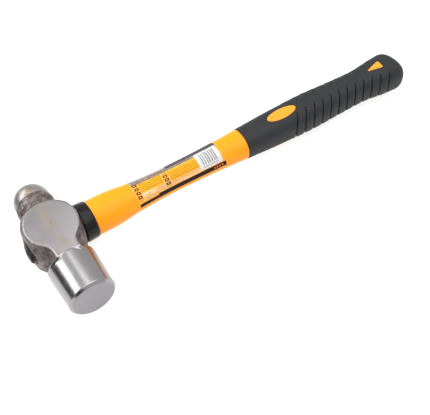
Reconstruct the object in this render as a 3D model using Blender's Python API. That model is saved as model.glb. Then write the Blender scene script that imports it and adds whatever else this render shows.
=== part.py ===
"""Ball peen hammer with a forged steel head and a fibreglass-cored, two-tone moulded handle.

Hammer axes: the handle runs along +X, the ball peen points to +Y, the cheeks face +Z and -Z.
They cross at the middle of the eye. The empty "hammer_axes" holds them above the surface that
the hammer lies on, so that the part's own origin is at the bottom centre of its bounding box.
"""
import math

import bmesh
import bpy
from mathutils import Vector

MM = 0.001
GAP = 0.3 * MM

# Head: positions along Y from the eye's centre
FACE_Y = -69.1 * MM
FACE_RADIUS = 20.0 * MM
FACE_CHAMFER = 2.2 * MM
POLL_RADIUS = 20.9 * MM
POLL_ROOT_Y = -29.3 * MM
POLL_SHOULDER = 4.5 * MM
BALL_RADIUS = 15.9 * MM
BALL_Y = 41.2 * MM
CHEEK_RADIUS = 22.4 * MM
CHEEK_HEIGHT = 20.5 * MM
CHEEK_SHARPNESS = 2.4
BOSS_X = 24.0 * MM

# Eye and what fills it
EYE_HALF_Y = 14.5 * MM
EYE_HALF_Z = 10.3 * MM
EYE_POWER = 2.2
CORE_RADIUS = 7.5 * MM
CORE_COVER = 5.0 * MM

# Handle: positions along X from the eye's centre
COLLAR_END_X = 33.6 * MM
COLLAR_RADIUS = 17.2 * MM
GRIP_START_X = 181.9 * MM
BUTT_X = 356.0 * MM
BUTT_ROUND = 10.0 * MM
BUTT_SLANT = 0.16
BUTT_SLANT_START_X = 334.0 * MM
CORE_END_X = 336.0 * MM
GRIP_WALL = 3.0 * MM
HANDLE_FLATTENING = 0.95

# Curved grooves round the grip's two narrow sides
GROOVE_COUNT = 12
GROOVE_FIRST_X = 231.6 * MM
GROOVE_PITCH = 9.43 * MM
GROOVE_WIDTH = 2.0 * MM
GROOVE_DEPTH = 1.2 * MM
GROOVE_LEAN = 8.5 * MM
GROOVE_REACH = math.radians(76.0)

# Inlays let into the grip's broad faces: middle, half-length, half-width and taper
INLAYS = {
    "oval_inlay": (224.6 * MM, 16.2 * MM, 6.2 * MM, 0.0),
    "butt_inlay": (329.5 * MM, 8.0 * MM, 5.0 * MM, 0.8),
}
INLAY_DEPTH = 1.8 * MM

# Printed film and bar-code sticker: positions along X, and steps round the handle
LABEL_START_X = 72.4 * MM
LABEL_END_X = 157.5 * MM
LABEL_STEPS = (0, 18)
STICKER_START_X = 134.0 * MM
STICKER_END_X = 154.5 * MM
STICKER_STEPS = (8, 15)
FILM_THICKNESS = 0.2 * MM
FILM_GAP = 0.12 * MM

HEAD_RING_SIDE = 7
HEAD_RING_FLAT = 2
TURN_STEPS = 36
HANDLE_STEPS = 36

# Half-width of the cheek flat, and of the forging at mid-height, at places along the head
FLAT_OUTLINE = [(-36.0, 11.0), (-32.3, 10.6), (-28.0, 10.2), (-24.5, 10.5), (-21.4, 11.4),
                (-17.7, 13.9), (-14.0, 17.3), (-9.0, 20.5), (0.0, 22.4)]
BODY_OUTLINE = [(-36.0, 13.2), (-31.0, 13.0), (-27.0, 13.9), (-23.5, 16.2), (-20.0, 19.2),
                (-15.0, 22.1), (-8.0, 23.7), (0.0, 24.0), (8.0, 23.8), (14.8, 22.1),
                (19.0, 19.8), (22.4, 17.0), (26.0, 13.5), (30.0, 12.0)]
# Half-width of the handle at places along it
HANDLE_OUTLINE = [(32.0, 15.8), (36.0, 15.8), (44.0, 15.8), (52.0, 15.6), (60.0, 14.9),
                  (72.0, 13.5), (105.0, 12.0), (158.0, 12.9), (210.0, 15.0), (252.0, 15.9),
                  (284.0, 14.9), (312.0, 14.4), (338.0, 16.9), (357.0, 17.7)]
# Places and radii along the neck between the cheeks and the ball
NECK_PROFILE = [(12.0, 12.0), (24.0, 13.8), (28.0, 15.2), (32.0, 16.5), (36.0, 16.7), (39.0, 16.1)]
# Steps of the resin's crooked dome: how far it stands out, its size, and how far it leans to the poll
RESIN_DOME = [(-2.2, 1.0, 0.0), (-0.3, 0.78, 2.0), (1.2, 0.6, 4.8), (2.3, 0.42, 6.0), (2.7, 0.2, 6.4)]


def curve_value(outline, position):
    """Value at a position on a smooth curve through (position, value) pairs, both in mm."""
    place = position / MM
    last = len(outline) - 1
    i = 0
    while i < last - 1 and place > outline[i + 1][0]:
        i += 1

    def slope(k):
        low, high = max(k - 1, 0), min(k + 1, last)
        return (outline[high][1] - outline[low][1]) / (outline[high][0] - outline[low][0])

    (x0, v0), (x1, v1) = outline[i], outline[i + 1]
    span = x1 - x0
    t = min(max((place - x0) / span, 0.0), 1.0)
    smooth = (v0 * (1 + 2 * t) * (1 - t) ** 2 + v1 * t * t * (3 - 2 * t)
              + span * (slope(i) * t * (1 - t) ** 2 - slope(i + 1) * t * t * (1 - t)))
    return smooth * MM


def steps_between(start, end, count):
    return [start + (end - start) * k / count for k in range(count + 1)]


def make_material(name, color, roughness, metallic=0.0):
    material = bpy.data.materials.new(name)
    material.use_nodes = True
    shader = material.node_tree.nodes["Principled BSDF"]
    shader.inputs["Base Color"].default_value = (*color, 1.0)
    shader.inputs["Roughness"].default_value = roughness
    shader.inputs["Metallic"].default_value = metallic
    return material


def add_object(name, bm, material, parent):
    bmesh.ops.recalc_face_normals(bm, faces=bm.faces)
    mesh = bpy.data.meshes.new(name)
    bm.to_mesh(mesh)
    bm.free()
    mesh.shade_smooth()
    mesh.set_sharp_from_angle(angle=math.radians(35.0))
    piece = bpy.data.objects.new(name, mesh)
    piece.parent = parent
    bpy.context.scene.collection.objects.link(piece)
    if material:
        mesh.materials.append(material)
    return piece


def cut(piece, cutter, operation="DIFFERENCE"):
    """Boolean modifier with a hidden tool object."""
    cutter.hide_render = True
    cutter.display_type = "WIRE"
    modifier = piece.modifiers.new(cutter.name, "BOOLEAN")
    modifier.operation = operation
    modifier.object = cutter


def skin_rings(bm, rings, closed_ends=True):
    """Quads between successive closed rings of points, with flat ends."""
    loops = [[bm.verts.new(point) for point in ring] for ring in rings]
    for near, far in zip(loops, loops[1:]):
        for k in range(len(near)):
            following = (k + 1) % len(near)
            bm.faces.new((near[k], near[following], far[following], far[k]))
    if closed_ends:
        bm.faces.new(loops[0])
        bm.faces.new(loops[-1])
    return loops


def turned_solid(profile):
    """Solid turned about the head's axis from (place along Y, radius) pairs that start and end at 0."""
    bm = bmesh.new()
    rings = []
    for place, radius in profile[1:-1]:
        ring = []
        for k in range(TURN_STEPS):
            angle = 2 * math.pi * k / TURN_STEPS
            ring.append(Vector((radius * math.cos(angle), place, radius * math.sin(angle))))
        rings.append(ring)
    loops = skin_rings(bm, rings, closed_ends=False)
    for (place, _), loop in zip((profile[0], profile[-1]), (loops[0], loops[-1])):
        tip = bm.verts.new((0.0, place, 0.0))
        for k in range(TURN_STEPS):
            bm.faces.new((tip, loop[k], loop[(k + 1) % TURN_STEPS]))
    return bm


def arc(center, radius, start, end, count):
    """(along, out) pairs on a circle; angle 0 points along the axis, 90 degrees outward."""
    return [(center[0] + radius * math.cos(math.radians(angle)),
             center[1] + radius * math.sin(math.radians(angle)))
            for angle in steps_between(start, end, count)]


def poll_profile():
    """Striking end: flat face, chamfered rim, straight barrel and rounded shoulder."""
    shoulder = (POLL_ROOT_Y - POLL_SHOULDER, POLL_RADIUS - POLL_SHOULDER)
    return ([(FACE_Y, 0.0), (FACE_Y, FACE_RADIUS - FACE_CHAMFER),
             (FACE_Y + 0.6 * FACE_CHAMFER, FACE_RADIUS - 0.3 * FACE_CHAMFER),
             (FACE_Y + 1.4 * FACE_CHAMFER, FACE_RADIUS)]
            + arc(shoulder, POLL_SHOULDER, 90.0, 0.0, 4)
            + [(POLL_ROOT_Y, 0.0)])


def peen_profile():
    """Forged neck that swells into a ridge, then the ball."""
    ball = arc((BALL_Y, 0.0), BALL_RADIUS, 90.0, 0.0, 12)
    neck = [(place * MM, radius * MM) for place, radius in NECK_PROFILE]
    return [(neck[0][0], 0.0)] + neck + ball[:-1] + [(BALL_Y + BALL_RADIUS, 0.0)]


def forging_section(y):
    """Closed outline across the cheeks and neck: flat top and bottom, bulging sides."""
    beyond = max(y - CHEEK_RADIUS, 0.0)
    height = CHEEK_HEIGHT - 1.2 * beyond
    width = curve_value(BODY_OUTLINE, y)
    if y > 0:
        flat = math.sqrt(max(CHEEK_RADIUS ** 2 - y ** 2, 0.0))
    else:
        flat = curve_value(FLAT_OUTLINE, y)
    fullness = 1.0 - (flat / width) ** CHEEK_SHARPNESS
    quarter = []
    for k in range(HEAD_RING_SIDE + 1):
        level = math.sin(0.5 * math.pi * k / HEAD_RING_SIDE)
        reach = max(1.0 - fullness * level ** CHEEK_SHARPNESS, 0.0) ** (1.0 / CHEEK_SHARPNESS)
        quarter.append((width * reach, height * level))
    edge = quarter[-1][0]
    quarter += [(edge * (1 - k / HEAD_RING_FLAT), height) for k in range(1, HEAD_RING_FLAT)]
    top = quarter + [(0.0, height)] + [(-x, z) for x, z in reversed(quarter)]
    bottom = [(x, -z) for x, z in reversed(top[1:-1])]
    return [Vector((x, y, z)) for x, z in top + bottom]


def head_places():
    """Section planes, close together where the outline turns quickly."""
    toward_poll = steps_between(POLL_ROOT_Y - 1.0 * MM, 0.0, 11)
    toward_peen = [CHEEK_RADIUS * math.sin(0.5 * math.pi * k / 9) for k in range(1, 9)]
    toward_peen.append(CHEEK_RADIUS - 0.1 * MM)
    neck = steps_between(CHEEK_RADIUS + 0.8 * MM, CHEEK_RADIUS + 6.0 * MM, 3)
    return toward_poll + toward_peen + neck


def oval_ring(x, half_y, half_z, power, steps):
    """Superellipse across the handle axis."""
    ring = []
    for k in range(steps):
        angle = 2 * math.pi * k / steps
        c, s = math.cos(angle), math.sin(angle)
        ring.append(Vector((x, math.copysign(abs(c) ** (2 / power), c) * half_y,
                            math.copysign(abs(s) ** (2 / power), s) * half_z)))
    return ring


def oval_bar(start, end, half_y, half_z, power=2.0):
    bm = bmesh.new()
    skin_rings(bm, [oval_ring(x, half_y, half_z, power, TURN_STEPS) for x in (start, end)])
    return bm


def handle_power(x):
    """Section of the handle: round at the neck, boxier along the grip."""
    blend = min(max((x - 150.0 * MM) / (60.0 * MM), 0.0), 1.0)
    return 2.0 + 0.5 * blend


def handle_half_width(x):
    half = curve_value(HANDLE_OUTLINE, x)
    into_end = max(x - (BUTT_X - BUTT_ROUND), 0.0) / BUTT_ROUND
    return half - BUTT_ROUND * (1.0 - math.sqrt(max(1.0 - into_end ** 2, 0.0)))


def handle_ring(x, inset=0.0):
    """Section of the handle, drawn in by an inset; near the butt it leans towards the ball side."""
    half = handle_half_width(x) - inset
    slant = BUTT_SLANT * max(x - BUTT_SLANT_START_X, 0.0) / (BUTT_X - BUTT_SLANT_START_X)
    ring = oval_ring(x, half, half * HANDLE_FLATTENING, handle_power(x), HANDLE_STEPS)
    return [point - Vector((slant * point.y, 0.0, 0.0)) for point in ring]


def groove_reach(index):
    """Half the angle that a groove covers: shorter towards both ends of the row."""
    return GROOVE_REACH - math.radians(0.08) * abs(index - 4) ** 3


def grooved_ring(x, index, depth):
    """Grip section that follows one groove: it leans to the butt away from the narrow sides."""
    ring = []
    for k, point in enumerate(handle_ring(x)):
        from_side = abs(math.asin(math.sin(2 * math.pi * k / HANDLE_STEPS)))
        reach = groove_reach(index)
        lean = GROOVE_LEAN * (1.0 - math.cos(min(from_side, reach)))
        sunk = handle_ring(x + lean, depth if from_side < reach else 0.0)[k]
        ring.append(sunk)
    return ring


def head(axes, steel):
    bm = bmesh.new()
    skin_rings(bm, [forging_section(y) for y in head_places()])
    piece = add_object("hammer_head", bm, steel, axes)
    poll = add_object("poll_tool", turned_solid(poll_profile()), None, axes)
    peen = add_object("peen_tool", turned_solid(peen_profile()), None, axes)
    eye = add_object("eye_tool", oval_bar(-2 * BOSS_X, 2 * BOSS_X, EYE_HALF_Y, EYE_HALF_Z, EYE_POWER), None, axes)
    cut(piece, poll, "UNION")
    cut(piece, peen, "UNION")
    cut(piece, eye)


def eye_resin(axes, resin):
    """Resin that fills the eye round the core and stands out of it in a crooked dome."""
    half_y, half_z = EYE_HALF_Y - GAP, EYE_HALF_Z - GAP
    rings = [oval_ring(BOSS_X - GAP, half_y, half_z, EYE_POWER, TURN_STEPS)]
    for rise, size, lean in RESIN_DOME:
        ring = oval_ring(-BOSS_X - rise * MM, size * half_y, size * half_z, EYE_POWER, TURN_STEPS)
        rings.append([point - Vector((0.0, lean * MM, 0.0)) for point in ring])
    bm = bmesh.new()
    skin_rings(bm, rings)
    piece = add_object("eye_resin", bm, resin, axes)
    bore = oval_bar(CORE_COVER - BOSS_X, 2 * BOSS_X, CORE_RADIUS + GAP, CORE_RADIUS + GAP)
    cut(piece, add_object("resin_bore_tool", bore, None, axes))


def handle_core(axes, fibreglass):
    core = oval_bar(CORE_COVER - BOSS_X + GAP, CORE_END_X, CORE_RADIUS, CORE_RADIUS)
    add_object("handle_core", core, fibreglass, axes)


def neck_collar(axes, rubber):
    start = BOSS_X + GAP
    end = COLLAR_END_X
    end_radius = handle_half_width(end) + 0.1 * MM
    outer = [(start, COLLAR_RADIUS - 0.6 * MM), (start + 0.8 * MM, COLLAR_RADIUS),
             (end - 1.0 * MM, end_radius + 0.4 * MM), (end, end_radius)]
    bm = bmesh.new()
    skin_rings(bm, [oval_ring(x, r, r * HANDLE_FLATTENING, 2.0, TURN_STEPS) for x, r in outer])
    piece = add_object("neck_collar", bm, rubber, axes)
    bore = oval_bar(0.0, 2 * end, CORE_RADIUS + GAP, CORE_RADIUS + GAP)
    cut(piece, add_object("collar_bore_tool", bore, None, axes))


def sheath_places():
    """Places of the sheath's rings between the collar and the grip; the films share them."""
    stations = [(COLLAR_END_X + GAP, 4), (LABEL_START_X, 5), (STICKER_START_X, 2), (STICKER_END_X, 1),
                (LABEL_END_X, 2), (GRIP_START_X - GAP, 0)]
    places = []
    for (start, count), (end, _) in zip(stations, stations[1:]):
        places += steps_between(start, end, count)[:-1]
    return places + [stations[-1][0]]


def places_between(start, end):
    return [x for x in sheath_places() if start - 0.1 * MM < x < end + 0.1 * MM]


def handle_sheath(axes, yellow):
    shoulder = GRIP_START_X - GAP
    end = BUTT_X - 2.5 * GRIP_WALL
    rings = [handle_ring(x) for x in sheath_places()]
    rings += [handle_ring(x, GRIP_WALL + GAP) for x in steps_between(shoulder, end - BUTT_ROUND, 10)]
    rings.append(handle_ring(end - 0.4 * BUTT_ROUND, GRIP_WALL + 1.0 * MM))
    rings.append(handle_ring(end, GRIP_WALL + 4.0 * MM))
    bm = bmesh.new()
    skin_rings(bm, rings)
    piece = add_object("handle_sheath", bm, yellow, axes)
    bore = oval_bar(0.0, CORE_END_X + GAP, CORE_RADIUS + GAP, CORE_RADIUS + GAP)
    cut(piece, add_object("sheath_bore_tool", bore, None, axes))


def grip_rings():
    """Rings of the grip's outside, from its front edge over the grooves to the rounded butt."""
    front = steps_between(GRIP_START_X, GROOVE_FIRST_X - 3.0 * MM, 6)
    rings = []
    for x in front:
        blend = (x - GRIP_START_X) / (front[-1] - GRIP_START_X)
        plain, leaning = handle_ring(x), grooved_ring(x, 0, 0.0)
        rings.append([a.lerp(b, blend) for a, b in zip(plain, leaning)])
    for k in range(GROOVE_COUNT):
        middle = GROOVE_FIRST_X + k * GROOVE_PITCH
        rings += [grooved_ring(middle + offset, k, depth)
                  for offset, depth in ((-0.5 * GROOVE_WIDTH, 0.0), (0.0, GROOVE_DEPTH),
                                        (0.5 * GROOVE_WIDTH, 0.0))]
    for angle in (0.0, 22.0, 42.0, 60.0, 75.0, 86.0):
        rings.append(handle_ring(BUTT_X - BUTT_ROUND * (1.0 - math.sin(math.radians(angle)))))
    return rings


def inlay_outline(middle, half_length, half_width, taper):
    """Outline of an inlay in plan: an oval, or with a taper, a rounded wedge."""
    power = 2.0 if taper == 0 else 3.2
    ring = oval_ring(0.0, half_length, half_width, power, 32)
    outline = []
    for point in ring:
        narrowing = 1.0 - taper * (0.5 - 0.5 * point.y / half_length)
        outline.append((middle + point.y, point.z * narrowing))
    return outline


def inlay_solid(outline, side, inner, outer):
    """Slab over a plan outline, between two insets from the grip's surface."""
    bm = bmesh.new()
    rings = []
    for inset in (inner, outer):
        ring = []
        for x, y in outline:
            half = handle_half_width(x)
            power = handle_power(x)
            dome = (1.0 - abs(y / half) ** power) ** (1.0 / power)
            ring.append(Vector((x, y, side * (half * HANDLE_FLATTENING * dome - inset))))
        rings.append(ring)
    skin_rings(bm, rings)
    return bm


def grip(axes, rubber, yellow):
    bm = bmesh.new()
    skin_rings(bm, grip_rings())
    piece = add_object("grip", bm, rubber, axes)
    cavity_end = BUTT_X - 2.5 * GRIP_WALL + GAP
    rings = [handle_ring(x, GRIP_WALL)
             for x in steps_between(GRIP_START_X - 5.0 * MM, cavity_end - BUTT_ROUND - GAP, 10)]
    rings.append(handle_ring(cavity_end - 0.4 * BUTT_ROUND, GRIP_WALL + 0.6 * MM))
    rings.append(handle_ring(cavity_end, GRIP_WALL + 3.5 * MM))
    cavity = bmesh.new()
    skin_rings(cavity, rings)
    cut(piece, add_object("grip_cavity_tool", cavity, None, axes))
    for name, (middle, half_length, half_width, taper) in INLAYS.items():
        for side, place in ((1, "upper"), (-1, "lower")):
            pocket = inlay_solid(inlay_outline(middle, half_length, half_width, taper),
                                 side, INLAY_DEPTH, -2.0 * MM)
            cut(piece, add_object(f"{name}_{place}_tool", pocket, None, axes))
            outline = inlay_outline(middle, half_length - GAP, half_width - GAP, taper)
            solid = inlay_solid(outline, side, INLAY_DEPTH - GAP, 0.0)
            add_object(f"{name}_{place}", solid, yellow, axes)


def film(axes, name, material, places, first_step, last_step, lift):
    """Thin film that lies on the sheath, along the sheath's own rings and between two of its steps."""
    bm = bmesh.new()
    sheets = []
    for offset in (lift, lift + FILM_THICKNESS):
        sheets.append([[bm.verts.new(point) for point in handle_ring(x, -offset)[first_step:last_step + 1]]
                       for x in places])
    for rows in sheets:
        for near, far in zip(rows, rows[1:]):
            for k in range(len(near) - 1):
                bm.faces.new((near[k], near[k + 1], far[k + 1], far[k]))
    bottom, top = sheets
    edges = [(bottom[0], top[0]), (bottom[-1], top[-1]),
             ([row[0] for row in bottom], [row[0] for row in top]),
             ([row[-1] for row in bottom], [row[-1] for row in top])]
    for low, high in edges:
        for k in range(len(low) - 1):
            bm.faces.new((low[k], low[k + 1], high[k + 1], high[k]))
    add_object(name, bm, material, axes)


def stand_on_origin(axes):
    """Move the hammer so that the bottom centre of its bounding box is the origin."""
    corners = [vertex.co for piece in axes.children if not piece.hide_render
               for vertex in piece.data.vertices]
    low, high = (Vector([pick(corner[k] for corner in corners) for k in range(3)]) for pick in (min, max))
    axes.location = (-(low.x + high.x) / 2, -(FACE_Y + BALL_Y + BALL_RADIUS) / 2, POLL_RADIUS)


def main():
    for old in list(bpy.data.objects):
        bpy.data.objects.remove(old)
    axes = bpy.data.objects.new("hammer_axes", None)
    bpy.context.scene.collection.objects.link(axes)

    steel = make_material("polished_steel", (0.42, 0.40, 0.41), 0.3, 1.0)
    resin = make_material("black_resin", (0.02, 0.02, 0.02), 0.35)
    fibreglass = make_material("fibreglass", (0.75, 0.68, 0.5), 0.5)
    collar = make_material("black_collar", (0.015, 0.015, 0.017), 0.3)
    yellow = make_material("yellow_plastic", (1.0, 0.42, 0.02), 0.35)
    rubber = make_material("black_rubber", (0.04, 0.04, 0.045), 0.6)
    paper = make_material("printed_film", (0.75, 0.45, 0.12), 0.35)
    white = make_material("white_sticker", (0.85, 0.85, 0.85), 0.4)

    head(axes, steel)
    eye_resin(axes, resin)
    handle_core(axes, fibreglass)
    neck_collar(axes, collar)
    handle_sheath(axes, yellow)
    grip(axes, rubber, yellow)
    film(axes, "handle_label", paper, places_between(LABEL_START_X, LABEL_END_X), *LABEL_STEPS, FILM_GAP)
    film(axes, "barcode_label", white, places_between(STICKER_START_X, STICKER_END_X), *STICKER_STEPS,
         2 * FILM_GAP + FILM_THICKNESS)
    stand_on_origin(axes)


main()
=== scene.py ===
"""Looks of a ball peen hammer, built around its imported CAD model.

Shapes are worked out in millimetres in the hammer's own axes: the handle runs along +X, the ball
peen points to +Y, the cheeks face +Z and -Z, and the axes cross at the middle of the eye.
"""
import math

import bpy
import numpy as np
from mathutils import Matrix, Vector, noise


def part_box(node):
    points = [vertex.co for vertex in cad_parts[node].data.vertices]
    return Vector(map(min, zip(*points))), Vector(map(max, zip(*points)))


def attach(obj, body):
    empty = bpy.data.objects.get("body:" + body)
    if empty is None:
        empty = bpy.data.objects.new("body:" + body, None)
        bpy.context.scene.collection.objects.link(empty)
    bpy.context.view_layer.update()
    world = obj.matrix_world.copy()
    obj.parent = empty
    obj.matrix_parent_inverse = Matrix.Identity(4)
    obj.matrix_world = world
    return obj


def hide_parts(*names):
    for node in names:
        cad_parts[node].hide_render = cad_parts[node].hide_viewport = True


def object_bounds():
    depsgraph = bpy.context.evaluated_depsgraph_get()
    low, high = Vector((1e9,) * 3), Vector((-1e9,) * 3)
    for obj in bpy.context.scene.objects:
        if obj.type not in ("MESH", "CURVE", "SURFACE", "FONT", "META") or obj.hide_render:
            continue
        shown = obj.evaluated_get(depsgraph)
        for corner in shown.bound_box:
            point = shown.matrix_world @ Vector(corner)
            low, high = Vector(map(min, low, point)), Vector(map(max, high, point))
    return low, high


MM = 0.001
GAP = 0.3
FINE_TURN, TURN, GRIP_TURN = 72, 96, 144

# Head, along Y
FACE_Y = -69.1
FACE_RADIUS = 20.0
FACE_FLAT_RADIUS = 17.7
CHAMFER_RUN = 2.1
CHAMFER_RISE = 2.2
POLL_TAPER = 0.028
POLL_ROOT_Y = -29.3
POLL_EDGE_ROUND = 0.35
POLL_SHOULDER = 3.4
FLAT_END_Y = -32.6
FLAT_ROUND = 1.5
EYE_ROUND = 1.2
WEB_FILLET = 6.0
NECK_FILLET = 4.5
BALL_FILLET = 0.9
POLL_FILLETS = (0.25, 3.45)
BALL_RADIUS = 15.9
BALL_Y = 41.2
CHEEK_HEIGHT = 20.5
CHEEK_SHARPNESS = 2.4
EYE_HALF_Y = 14.5
EYE_HALF_Z = 10.3
EYE_POWER = 2.2
BOSS_X = 24.0
BOSS_Y = 27.0
BOSS_Y_POLL = 24.8
CHEEK_RADIUS = 22.4
WEB_MIDDLE = 13.0
WEB_FLAT = 10.3
NECK_PROFILE = [(12, 12), (24, 13.8), (28, 15.2), (31.5, 16.3), (35, 16.6), (38, 15.9)]
NECK_END_Y = 38.0
HEAD_STEP = 0.6
HEAD_LOW = (-26.4, -71.4, -22.8)
HEAD_HIGH = (26.4, 59.4, 22.8)

# Handle, along X
COLLAR_END_X = 33.6
COLLAR_RADIUS = 17.2
COLLAR_PROUD = 0.75
COLLAR_GAP = 0.2
COLLAR_SECTION = [(0.0, -0.7), (0.02, -0.35), (0.06, -0.1), (0.12, 0.0), (0.3, 0.05), (0.6, 0.05),
                  (0.86, 0.0), (0.93, -0.1), (0.98, -0.32), (1.0, -0.7), (1.0, -1.2)]
CORE_RADIUS = 7.5
CORE_COVER_X = -19.0
CORE_END_X = 336.0
GRIP_START_X = 181.9
GRIP_WALL = 3.0
BUTT_X = 356.0
SHEATH_END_X = BUTT_X - 2.5 * GRIP_WALL
BUTT_ROUND = 10.0
BUTT_SLANT = 0.16
BUTT_SLANT_START_X = 334.0
FLATTENING = 0.95
HANDLE_OUTLINE = [(32, 15.8), (36, 15.8), (44, 15.8), (52, 15.6), (60, 14.9), (72, 13.5),
                  (105, 12.0), (158, 12.9), (210, 15.0), (252, 15.9), (284, 14.9), (312, 14.4),
                  (338, 16.9), (357, 17.7)]
RESIN_SIZE = [(-2.2, 1.0), (-0.3, 0.78), (1.2, 0.6), (2.3, 0.42), (2.7, 0.2)]
RESIN_LEAN = [(-2.2, 0.0), (-0.3, 2.0), (1.2, 4.8), (2.3, 6.0), (2.7, 6.4)]

# Curved grooves round the grip's two narrow sides
GROOVE_COUNT = 12
GROOVE_FIRST_X = 231.6
GROOVE_PITCH = 9.43
GROOVE_HALF = 0.9
GROOVE_DEPTH = 1.4
GROOVE_LEAN = 8.5
GROOVE_REACH = 76.0
RIB_CROWN = 0.18
GROOVE_STEPS = (-1.6, -1.2, -0.95, -0.7, -0.45, -0.2, 0.0, 0.2, 0.45, 0.7, 0.95, 1.2, 1.6, 2.4, 3.8,
                5.2, 6.6)

# Inlays: middle, half-length, half-width and taper
INLAYS = {"oval_inlay": (224.6, 16.2, 6.2, 0.0), "butt_inlay": (329.6, 8.0, 5.3, 0.9)}
WEDGE_POWER = 6.0
INLAY_DEPTH = 1.8
INLAY_SEAM = 0.28
INLAY_RIM = [(0.55, 1.0), (0.3, 0.985), (0.1, 0.96), (-0.02, 0.92), (-0.1, 0.84), (-0.16, 0.7),
             (-0.2, 0.5), (-0.22, 0.25)]

# Printed film and sticker: from and to along X, and degrees round the handle from +Y over +Z
LABEL_X = (72.4, 155.6)
LABEL_SLANT = 3.0
LABEL_ANGLES = (2.0, 178.0)
STICKER_X = (134.2, 154.6)
STICKER_ANGLES = (77.0, 151.0)

# Camera, in the hammer's axes
CAMERA_AZIMUTH = -0.56007928
CAMERA_ELEVATION = 0.93481400
CAMERA_ROLL = -0.01202229
CAMERA_DISTANCE = 690.912
CAMERA_TARGET = (125.304, -46.120, 0.0)
CAMERA_LENS = 69.493
EXPOSURE = 0.7

# Studio: each softbox's direction, distance and size in metres, and radiance; the world's
# brightness from the lower left to the upper right; and the dark card in millimetres
SOFTBOXES = {"left_softbox": ((-0.62, 0.57, 0.57), 1.2, (1.7, 0.42), 3.8),
             "top_softbox": ((0.15, -0.10, 1.0), 1.6, (1.9, 1.9), 1.2)}
WORLD_RISE = (0.6, 0.0, 1.0)
WORLD_STOPS = ((0.0, 0.05), (0.15, 0.10), (0.33, 0.62), (0.9, 0.52), (1.0, 0.60))
FLOOR_HALF = 4.0
FLOOR_DROP = 0.0002
CARD_TOWARD, CARD_ACROSS = (-0.81, 0.58, 0.0), (0.58, 0.81, 0.0)
CARD_FROM = (-15.0, -50.0, 0.0)
CARD_DISTANCE = 150.0
CARD_SIDES = (-110.0, 150.0)
CARD_HEIGHTS = (-20.0, 62.0)


# ---------------------------------------------------------------- shapes

def outline_value(outline, place):
    """Smooth curve through (place, value) pairs, for an array of places."""
    known = np.array(outline, float)
    x, value = known[:, 0], known[:, 1]
    slope = np.gradient(value, x)
    slope[1:-1] = (value[2:] - value[:-2]) / (x[2:] - x[:-2])
    i = np.clip(np.searchsorted(x, place) - 1, 0, len(x) - 2)
    span = x[i + 1] - x[i]
    t = np.clip((place - x[i]) / span, 0.0, 1.0)
    return (value[i] * (1 + 2 * t) * (1 - t) ** 2 + value[i + 1] * t * t * (3 - 2 * t)
            + span * (slope[i] * t * (1 - t) ** 2 - slope[i + 1] * t * t * (1 - t)))


def smooth_step(low, high, value):
    t = np.clip((value - low) / (high - low), 0.0, 1.0)
    return t * t * (3 - 2 * t)


def smooth_min(a, b, k):
    h = np.maximum(k - np.abs(a - b), 0.0) / k
    return np.minimum(a, b) - h * h * k * 0.25


def smooth_max(a, b, k):
    return -smooth_min(-a, -b, k)


def superellipse_distance(u, v, half_u, half_v, power):
    """Roughly the distance from a superellipse, negative inside it."""
    size = ((np.abs(u) / half_u) ** power + (np.abs(v) / half_v) ** power) ** (1.0 / power)
    return np.hypot(u, v) * (1.0 - 1.0 / np.maximum(size, 0.02))


def poll_distance(p):
    """Turned striking end: tapered barrel, rounded shoulder at its root, chamfered face."""
    x, y, z = p.T
    radius = np.hypot(x, z)
    side = radius - (FACE_RADIUS + POLL_TAPER * (y - FACE_Y - 3.0)) + POLL_SHOULDER
    back = y - POLL_ROOT_Y + POLL_SHOULDER
    barrel = (np.minimum(np.maximum(side, back), 0.0)
              + np.hypot(np.maximum(side, 0.0), np.maximum(back, 0.0)) - POLL_SHOULDER)
    chamfer = (((radius - FACE_FLAT_RADIUS) * CHAMFER_RUN - (y - FACE_Y) * CHAMFER_RISE)
               / math.hypot(CHAMFER_RUN, CHAMFER_RISE))
    face = smooth_max(FACE_Y - y, chamfer, POLL_EDGE_ROUND)
    return smooth_max(barrel, face, POLL_EDGE_ROUND)


def ball_distance(p):
    return np.sqrt(p[:, 0] ** 2 + (p[:, 1] - BALL_Y) ** 2 + p[:, 2] ** 2) - BALL_RADIUS


def eye_distance(p):
    return superellipse_distance(p[:, 1], p[:, 2], EYE_HALF_Y, EYE_HALF_Z, EYE_POWER)


def cheek_fall(z):
    """0 at mid-height, 1 at the ground cheek."""
    return np.minimum(np.abs(z) / CHEEK_HEIGHT, 1.15) ** CHEEK_SHARPNESS


def boss_distance(p):
    """The forging round the eye: round at the cheeks, squarer and wider at mid-height."""
    x, y, z = p.T
    fall = cheek_fall(z)
    reach = np.where(y < 0, BOSS_Y_POLL, BOSS_Y)
    return superellipse_distance(x, y, BOSS_X - (BOSS_X - CHEEK_RADIUS) * fall,
                                 reach - (reach - CHEEK_RADIUS) * fall, 3.0 - fall)


def web_distance(p):
    """The narrow part of the forging between the boss and the poll."""
    x, y, z = p.T
    web = np.abs(x) - (WEB_MIDDLE - (WEB_MIDDLE - WEB_FLAT) * cheek_fall(z))
    return np.maximum.reduce((web, FLAT_END_Y - y, y + 10.0))


def neck_distance(p):
    x, y, z = p.T
    side = np.hypot(x, z) - outline_value(NECK_PROFILE, y)
    return np.maximum.reduce((side, NECK_PROFILE[0][0] - y, y - NECK_END_Y))


def hollow_depth(p):
    """How far a fillet fills the corner between two parts of the forging, 0 away from the fillets."""
    parts = (boss_distance(p), web_distance(p), neck_distance(p), poll_distance(p), ball_distance(p))
    return np.maximum(np.minimum.reduce(parts), 0.0)


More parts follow.
